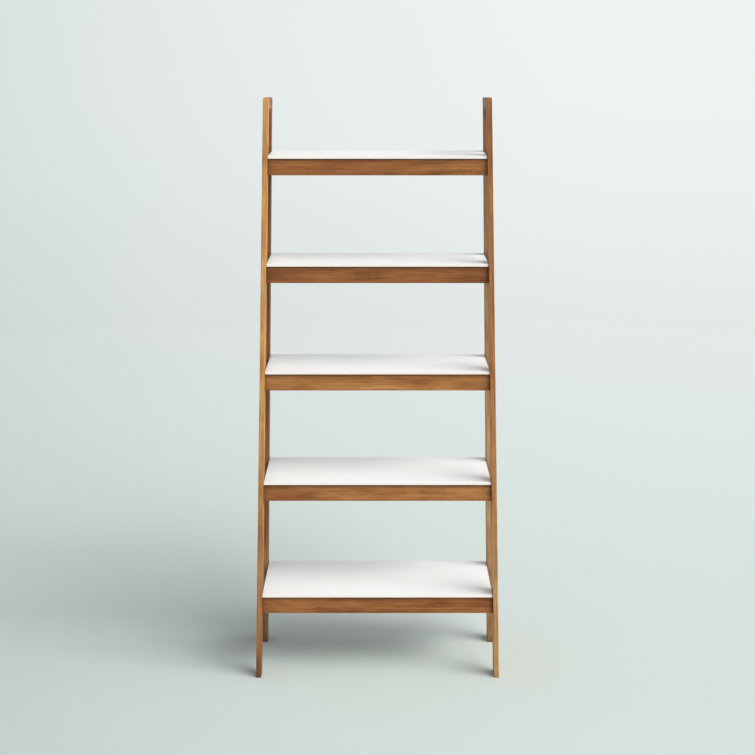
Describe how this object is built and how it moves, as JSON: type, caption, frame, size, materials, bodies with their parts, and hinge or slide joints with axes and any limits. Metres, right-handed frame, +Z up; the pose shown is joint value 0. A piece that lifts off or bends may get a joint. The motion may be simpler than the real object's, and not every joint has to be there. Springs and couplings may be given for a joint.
{
  "type": "ladder shelf",
  "caption": "Free-standing ladder bookcase: open flat side frames that narrow towards the top carry white shelf boards on wooden aprons, deeper towards the floor.",
  "frame": {"origin": "on the floor under the middle of the bounding box", "axes": "+Z up, +X to the right seen from the front, front faces -Y, the upright back legs are at +Y"},
  "size_m": [0.765, 0.415, 1.7997],
  "materials": {
    "stained_wood": "mid-brown stain under a satin lacquer",
    "white_board": "white satin lacquer on fibreboard",
    "dowel_wood": "bare beech",
    "zinc_steel": "bright zinc plate",
    "insert_brass": "plain turned brass"
  },
  "bodies": {
    "root": {"left_front_leg": "stained_wood", "left_back_leg": "stained_wood", "left_top_rail": "stained_wood", "left_top_rail_dowels": "dowel_wood", "right_front_leg": "stained_wood", "right_back_leg": "stained_wood", "right_top_rail": "stained_wood", "right_top_rail_dowels": "dowel_wood", "top_shelf_board": "white_board", "top_shelf_front_apron": "stained_wood", "top_shelf_back_apron": "stained_wood", "top_shelf_left_rail": "stained_wood", "top_shelf_right_rail": "stained_wood", "top_shelf_dowels": "dowel_wood", "top_shelf_bolts": "zinc_steel", "top_shelf_inserts": "insert_brass", "top_shelf_screws": "zinc_steel", "upper_shelf_board": "white_board", "upper_shelf_front_apron": "stained_wood", "upper_shelf_back_apron": "stained_wood", "upper_shelf_left_rail": "stained_wood", "upper_shelf_right_rail": "stained_wood", "upper_shelf_dowels": "dowel_wood", "upper_shelf_bolts": "zinc_steel", "upper_shelf_inserts": "insert_brass", "upper_shelf_screws": "zinc_steel", "middle_shelf_board": "white_board", "middle_shelf_front_apron": "stained_wood", "middle_shelf_back_apron": "stained_wood", "middle_shelf_left_rail": "stained_wood", "middle_shelf_right_rail": "stained_wood", "middle_shelf_dowels": "dowel_wood", "middle_shelf_bolts": "zinc_steel", "middle_shelf_inserts": "insert_brass", "middle_shelf_screws": "zinc_steel", "lower_shelf_board": "white_board", "lower_shelf_front_apron": "stained_wood", "lower_shelf_back_apron": "stained_wood", "lower_shelf_left_rail": "stained_wood", "lower_shelf_right_rail": "stained_wood", "lower_shelf_dowels": "dowel_wood", "lower_shelf_bolts": "zinc_steel", "lower_shelf_inserts": "insert_brass", "lower_shelf_screws": "zinc_steel", "bottom_shelf_board": "white_board", "bottom_shelf_front_apron": "stained_wood", "bottom_shelf_back_apron": "stained_wood", "bottom_shelf_left_rail": "stained_wood", "bottom_shelf_right_rail": "stained_wood", "bottom_shelf_dowels": "dowel_wood", "bottom_shelf_bolts": "zinc_steel", "bottom_shelf_inserts": "insert_brass", "bottom_shelf_screws": "zinc_steel"}
  },
  "joints": []
}
